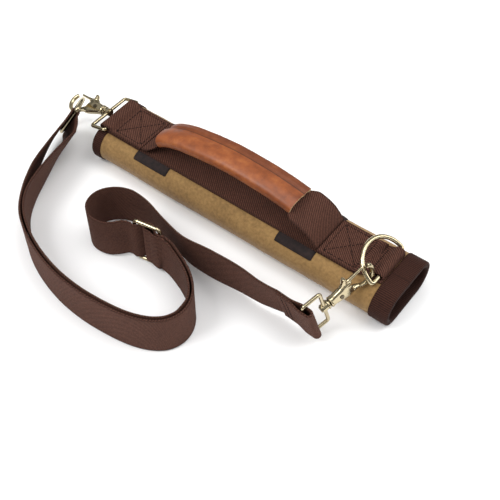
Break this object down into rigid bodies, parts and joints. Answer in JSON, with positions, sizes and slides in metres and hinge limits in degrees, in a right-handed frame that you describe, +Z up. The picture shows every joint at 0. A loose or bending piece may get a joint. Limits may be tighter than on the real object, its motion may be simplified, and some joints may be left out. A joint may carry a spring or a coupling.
{
  "type": "golf club carry sleeve",
  "caption": "Flattened fabric sleeve that carries a few clubs, with a leather-gripped webbing handle and a clip-on shoulder strap",
  "frame": {"origin": "centre of the sleeve's flat underside, on the ground", "axes": "+X along the sleeve from the tail to the mouth, +Y across it away from the strap, +Z up"},
  "size_m": [0.3423, 0.1872, 0.0632],
  "materials": {
    "canvas": "tan woven cotton canvas, matt",
    "stiffener": "closed-cell foam sheet",
    "lining": "dark woven lining",
    "binding": "smooth dark brown edge tape",
    "webbing": "brown twill webbing",
    "strap_webbing": "brown twill webbing",
    "patch": "near-black reinforcement patch",
    "thread": "dark bonded thread",
    "padding": "soft foam roll",
    "leather": "waxed orange-brown leather, lightly scuffed",
    "brass": "pale antique brass, polished",
    "pin": "dark rivet",
    "spring": "spring steel"
  },
  "bodies": {
    "carrier": {"canvas_shell": "canvas", "foam_stiffener": "stiffener", "sleeve_lining": "lining", "tail_binding": "binding", "mouth_binding": "binding", "base_webbing": "webbing", "tail_anchor_patch": "patch", "mouth_anchor_patch": "patch", "tail_anchor_webbing": "webbing", "mouth_anchor_webbing": "webbing", "tail_box_stitching": "thread", "mouth_box_stitching": "thread", "handle_tail_leg": "webbing", "handle_mouth_leg": "webbing", "shoulder_strap": "strap_webbing", "strap_slider": "brass", "strap_d_ring": "brass", "tail_hook_eye": "brass"},
    "grip": {"handle_webbing": "webbing", "grip_padding": "padding", "leather_grip": "leather"},
    "mouth_ring": {"mouth_d_ring": "brass"},
    "tail_hook": {"tail_hook_body": "brass", "tail_hook_pin": "pin", "tail_hook_spring": "spring"},
    "tail_gate": {"tail_hook_gate": "brass"},
    "strap_eye": {"strap_hook_eye": "brass"},
    "strap_hook": {"strap_hook_body": "brass", "strap_hook_pin": "pin", "strap_hook_spring": "spring"},
    "strap_gate": {"strap_hook_gate": "brass"}
  },
  "joints": [
    {"name": "grip_tilt", "type": "hinge", "parent": "carrier", "child": "grip", "pos_m": [0, 0, 0.038], "axis": [1, 0, 0], "range_deg": [-25, 25], "stiffness_Nm_per_rad": 0.4},
    {"name": "mouth_ring_pivot", "type": "hinge", "parent": "carrier", "child": "mouth_ring", "pos_m": [0.1236, 0, 0.0333], "axis": [0, 1, 0], "range_deg": [-1.5, 6], "stiffness_Nm_per_rad": 0.05},
    {"name": "tail_hook_swivel", "type": "hinge", "parent": "carrier", "child": "tail_hook", "pos_m": [-0.15294, 0, 0.03056], "axis": [-0.97, 0, -0.243], "range_deg": [-4, 16], "stiffness_Nm_per_rad": 0.05},
    {"name": "tail_gate_trigger", "type": "hinge", "parent": "tail_hook", "child": "tail_gate", "pos_m": [-0.167, 0, 0.02703], "axis": [0.2305, 0.3172, -0.9199], "range_deg": [-11, 0], "stiffness_Nm_per_rad": 0.1},
    {"name": "strap_eye_pivot", "type": "hinge", "parent": "carrier", "child": "strap_eye", "pos_m": [0.10165, -0.07039, 0.02531], "axis": [-0.0798, -0.266, 0.9607], "range_deg": [0, 1], "stiffness_Nm_per_rad": 0.5},
    {"name": "strap_hook_swivel", "type": "hinge", "parent": "strap_eye", "child": "strap_hook", "pos_m": [0.1059, -0.05622, 0.02959], "axis": [0.276, 0.9202, 0.2777], "range_deg": [-0.5, 8], "stiffness_Nm_per_rad": 0.05},
    {"name": "strap_gate_trigger", "type": "hinge", "parent": "strap_hook", "child": "strap_gate", "pos_m": [0.1099, -0.04288, 0.03361], "axis": [0.9252, -0.3326, 0.1826], "range_deg": [-10, 0], "stiffness_Nm_per_rad": 0.1}
  ]
}
